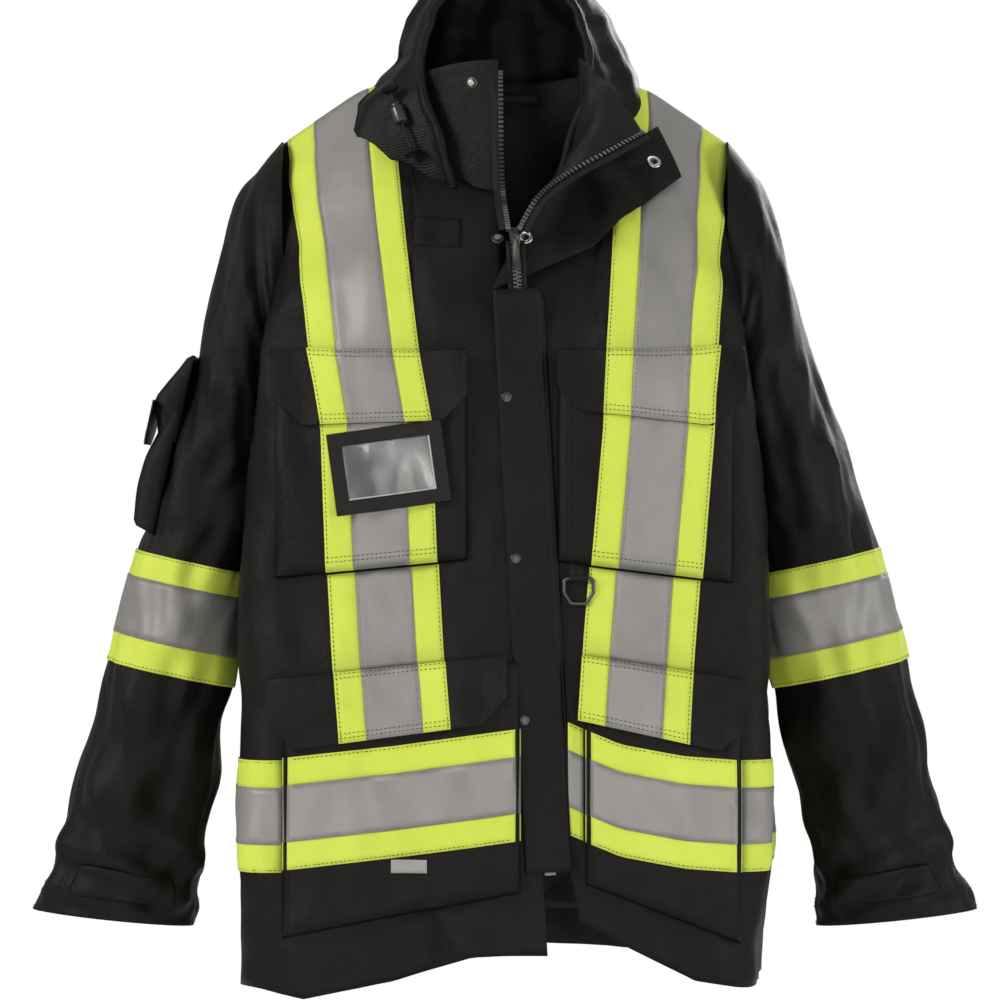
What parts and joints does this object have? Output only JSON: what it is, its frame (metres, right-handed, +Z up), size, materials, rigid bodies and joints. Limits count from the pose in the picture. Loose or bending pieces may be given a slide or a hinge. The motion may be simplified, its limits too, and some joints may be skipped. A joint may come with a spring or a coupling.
{
  "type": "turnout coat",
  "caption": "Hooded high-visibility work parka hung from its neck loop: reflective tape, cargo pockets, hinged flaps, storm flap over a zipper, bending sleeves.",
  "frame": {"origin": "middle of the hanger loop sewn inside the back neck", "axes": "+X to the wearer's left, -Y out of the front, +Z up; the coat hangs below the loop"},
  "size_m": [0.8598, 0.2883, 0.932],
  "materials": {
    "shell": "heavy black canvas, soft warm sheen, fine twill",
    "lining": "black quilted satin lining",
    "lime_tape": "fluorescent lime knit tape",
    "silver_tape": "grey retroreflective glass-bead tape, grazing glare",
    "tape_pair": "lime tape with a silver strip down the middle",
    "zip_moulding": "black moulded plastic teeth",
    "zip_tape": "black woven zipper tape",
    "zip_metal": "black lacquered metal",
    "snap_metal": "antique nickel",
    "ring_plastic": "black plastic",
    "cord_cover": "black braided cord",
    "badge_fabric": "black bound vinyl frame",
    "badge_clear": "clear flexible vinyl",
    "badge_insert": "plain dark card",
    "tag_grey": "plain grey woven tag"
  },
  "bodies": {
    "coat": {"back_panel": "shell", "right_front_panel": "shell", "left_front_panel": "shell", "back_lining": "lining", "front_linings": "lining", "collar": "shell", "turned_storm_flap": "shell", "hang_loop": "shell", "zipper_teeth": "zip_moulding", "zipper_tapes": "zip_tape", "zipper_end_box": "zip_moulding", "storm_flap_seam": "shell", "snap_studs": "snap_metal", "right_chest_pocket": "shell", "left_chest_pocket": "shell", "right_hip_pocket": "shell", "left_hip_pocket": "shell", "right_tape_lime": "lime_tape", "right_tape_silver": "silver_tape", "left_tape_lime": "lime_tape", "left_tape_silver": "silver_tape", "hip_band_lime": "lime_tape", "hip_band_silver": "silver_tape", "back_cross_lime": "lime_tape", "back_cross_silver": "silver_tape", "d_ring_loop": "shell", "mic_tab": "shell", "plain_tag": "tag_grey"},
    "slider": {"zipper_slider": "zip_metal"},
    "pull": {"zipper_pull": "zip_metal"},
    "closure_flap": {"storm_flap": "shell", "snap_sockets": "snap_metal", "snap_caps": "snap_metal"},
    "right_chest_lid": {"right_chest_flap": "shell", "right_chest_flap_tape": "tape_pair"},
    "left_chest_lid": {"left_chest_flap": "shell", "left_chest_flap_tape": "tape_pair"},
    "right_hip_lid": {"right_hip_flap": "shell", "right_hip_flap_tape": "tape_pair"},
    "left_hip_lid": {"left_hip_flap": "shell", "left_hip_flap_tape": "tape_pair"},
    "badge": {"badge_holder": "badge_fabric", "badge_card": "badge_insert", "badge_window": "badge_clear"},
    "ring": {"d_ring": "ring_plastic"},
    "right_upper_sleeve": {"right_sleeve": "shell", "right_sleeve_band": "tape_pair", "sleeve_pocket": "shell"},
    "left_upper_sleeve": {"left_sleeve": "shell", "left_sleeve_band": "tape_pair"},
    "right_lower_sleeve": {"right_forearm": "shell"},
    "left_lower_sleeve": {"left_forearm": "shell"},
    "pen_lid": {"sleeve_pocket_flap": "shell"},
    "right_cuff_strap": {"right_cuff_tab": "shell"},
    "left_cuff_strap": {"left_cuff_tab": "shell"},
    "hood_bag": {"hood": "shell", "hood_cord": "cord_cover", "cord_anchors": "shell"},
    "lock": {"cord_lock": "ring_plastic"}
  },
  "joints": [
    {"name": "right_shoulder", "type": "hinge", "parent": "coat", "child": "right_upper_sleeve", "pos_m": [-0.2136, -0.048, -0.095], "axis": [0, 1, 0], "range_deg": [0, 50]},
    {"name": "left_shoulder", "type": "hinge", "parent": "coat", "child": "left_upper_sleeve", "pos_m": [0.2136, -0.048, -0.095], "axis": [0, -1, 0], "range_deg": [0, 50]},
    {"name": "right_elbow", "type": "hinge", "parent": "right_upper_sleeve", "child": "right_lower_sleeve", "pos_m": [-0.308, -0.105, -0.545], "axis": [-0.9767, 0, 0.2147], "range_deg": [0, 60]},
    {"name": "left_elbow", "type": "hinge", "parent": "left_upper_sleeve", "child": "left_lower_sleeve", "pos_m": [0.308, -0.105, -0.545], "axis": [-0.9767, 0, -0.2147], "range_deg": [0, 60]},
    {"name": "right_cuff_tab_open", "type": "hinge", "parent": "right_lower_sleeve", "child": "right_cuff_strap", "pos_m": [-0.3149, -0.0962, -0.7274], "axis": [0.2147, 0, 0.9767], "range_deg": [0, 70]},
    {"name": "left_cuff_tab_open", "type": "hinge", "parent": "left_lower_sleeve", "child": "left_cuff_strap", "pos_m": [0.3149, -0.0962, -0.7274], "axis": [0.2147, 0, -0.9767], "range_deg": [0, 70]},
    {"name": "pen_flap_lift", "type": "hinge", "parent": "right_upper_sleeve", "child": "pen_lid", "pos_m": [-0.32473, -0.048, -0.28531], "axis": [0, 1, 0], "range_deg": [0, 120]},
    {"name": "hood_fold", "type": "hinge", "parent": "coat", "child": "hood_bag", "pos_m": [0, 0.061, -0.07], "axis": [-1, 0, 0], "range_deg": [0, 105]},
    {"name": "cord_lock_slide", "type": "slide", "parent": "hood_bag", "child": "lock", "axis": [0.3316, -0.2205, -0.9173], "range_m": [-0.012, 0.024]},
    {"name": "storm_flap_open", "type": "hinge", "parent": "coat", "child": "closure_flap", "pos_m": [0.04764, -0.20607, -0.47743], "axis": [-0.055, 0.0444, 0.9975], "range_deg": [0, 105]},
    {"name": "right_chest_flap_lift", "type": "hinge", "parent": "coat", "child": "right_chest_lid", "pos_m": [-0.111, -0.20534, -0.24306], "axis": [-1, 0, 0], "range_deg": [0, 150]},
    {"name": "left_chest_flap_lift", "type": "hinge", "parent": "coat", "child": "left_chest_lid", "pos_m": [0.12, -0.20534, -0.24306], "axis": [-1, 0, 0], "range_deg": [0, 150]},
    {"name": "right_hip_flap_lift", "type": "hinge", "parent": "coat", "child": "right_hip_lid", "pos_m": [-0.2, -0.22046, -0.53768], "axis": [-0.9942, -0.0048, -0.1071], "range_deg": [0, 150]},
    {"name": "left_hip_flap_lift", "type": "hinge", "parent": "coat", "child": "left_hip_lid", "pos_m": [0.205, -0.22046, -0.53768], "axis": [-0.9866, 0.0073, 0.163], "range_deg": [0, 150]},
    {"name": "badge_lift", "type": "hinge", "parent": "coat", "child": "badge", "pos_m": [-0.112, -0.20903, -0.31697], "axis": [-0.9877, -0.007, -0.1563], "range_deg": [0, 80]},
    {"name": "d_ring_swing", "type": "hinge", "parent": "coat", "child": "ring", "pos_m": [0.066, -0.20277, -0.44838], "axis": [-1, 0, 0], "range_deg": [0, 110]},
    {"name": "slider_travel", "type": "slide", "parent": "coat", "child": "slider", "axis": [-0.055, 0.0444, 0.9975], "range_m": [-0.55, 0]},
    {"name": "pull_swing", "type": "hinge", "parent": "slider", "child": "pull", "pos_m": [0.00899, -0.18672, -0.13957], "axis": [-0.9985, -0.0024, -0.0549], "range_deg": [0, 80]}
  ]
}
